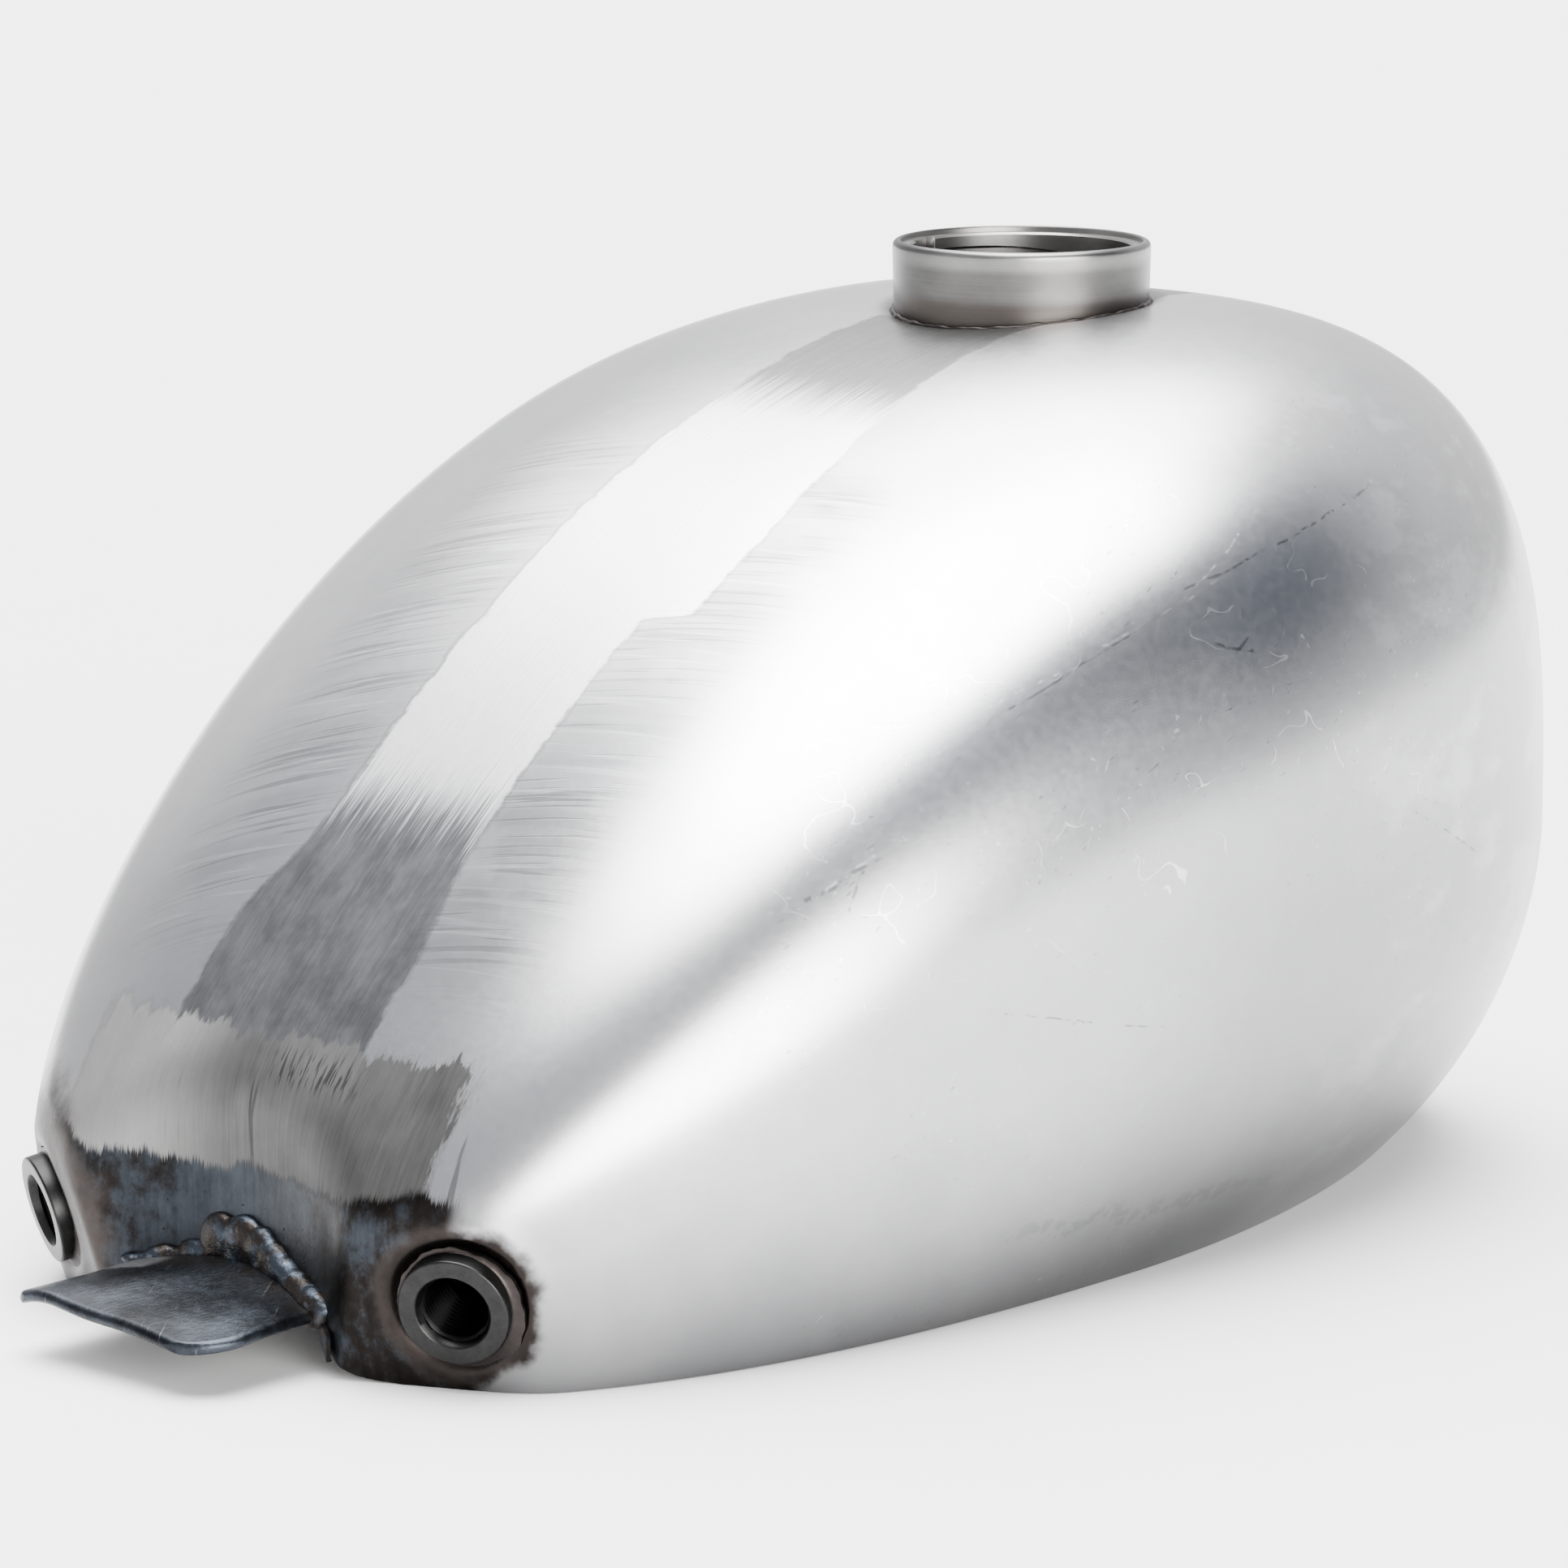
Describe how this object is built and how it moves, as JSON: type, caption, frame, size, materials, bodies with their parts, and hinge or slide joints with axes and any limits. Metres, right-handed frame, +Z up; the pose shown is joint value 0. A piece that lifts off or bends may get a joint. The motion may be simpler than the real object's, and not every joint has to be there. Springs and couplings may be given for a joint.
{
  "type": "motorcycle fuel tank",
  "caption": "Small teardrop steel motorcycle fuel tank, unpainted, with a bayonet filler neck, threaded outlets, a rear tongue and a frame tunnel.",
  "frame": {"origin": "on the plane of the lower rim, under the middle of the whole tank", "axes": "+Y towards the front of the motorcycle, +X to the rider's right, +Z up"},
  "size_m": [0.2852, 0.424, 0.2256],
  "materials": {
    "sheet_steel": "bare pressed steel, satin, scratched, belt-sanded along the ridge",
    "turned_steel": "turned steel, satin",
    "outlet_steel": "machined dark steel, lightly oxidised",
    "tongue_steel": "dark heat-tinted steel plate",
    "weld_metal": "weld and braze metal, heat-tinted"
  },
  "bodies": {
    "root": {"shell_left": "sheet_steel", "shell_right": "sheet_steel", "centre_seam_weld": "sheet_steel", "filler_neck": "turned_steel", "filler_bayonet_ring": "turned_steel", "filler_neck_weld": "weld_metal", "petcock_bung_left": "outlet_steel", "petcock_bung_right": "outlet_steel", "bung_weld_left": "weld_metal", "bung_weld_right": "weld_metal", "rear_mount_tongue": "tongue_steel", "tongue_weld": "weld_metal", "tunnel": "sheet_steel", "floor_left": "sheet_steel", "floor_right": "sheet_steel", "floor_seam_weld_left": "weld_metal", "floor_seam_weld_right": "weld_metal", "tunnel_seam_weld_left": "weld_metal", "tunnel_seam_weld_right": "weld_metal", "front_mount_boss_left": "outlet_steel", "front_mount_boss_right": "outlet_steel", "front_boss_weld_left": "weld_metal", "front_boss_weld_right": "weld_metal", "tunnel_mouth_weld_rear": "weld_metal", "tunnel_mouth_weld_front": "weld_metal"}
  },
  "joints": []
}
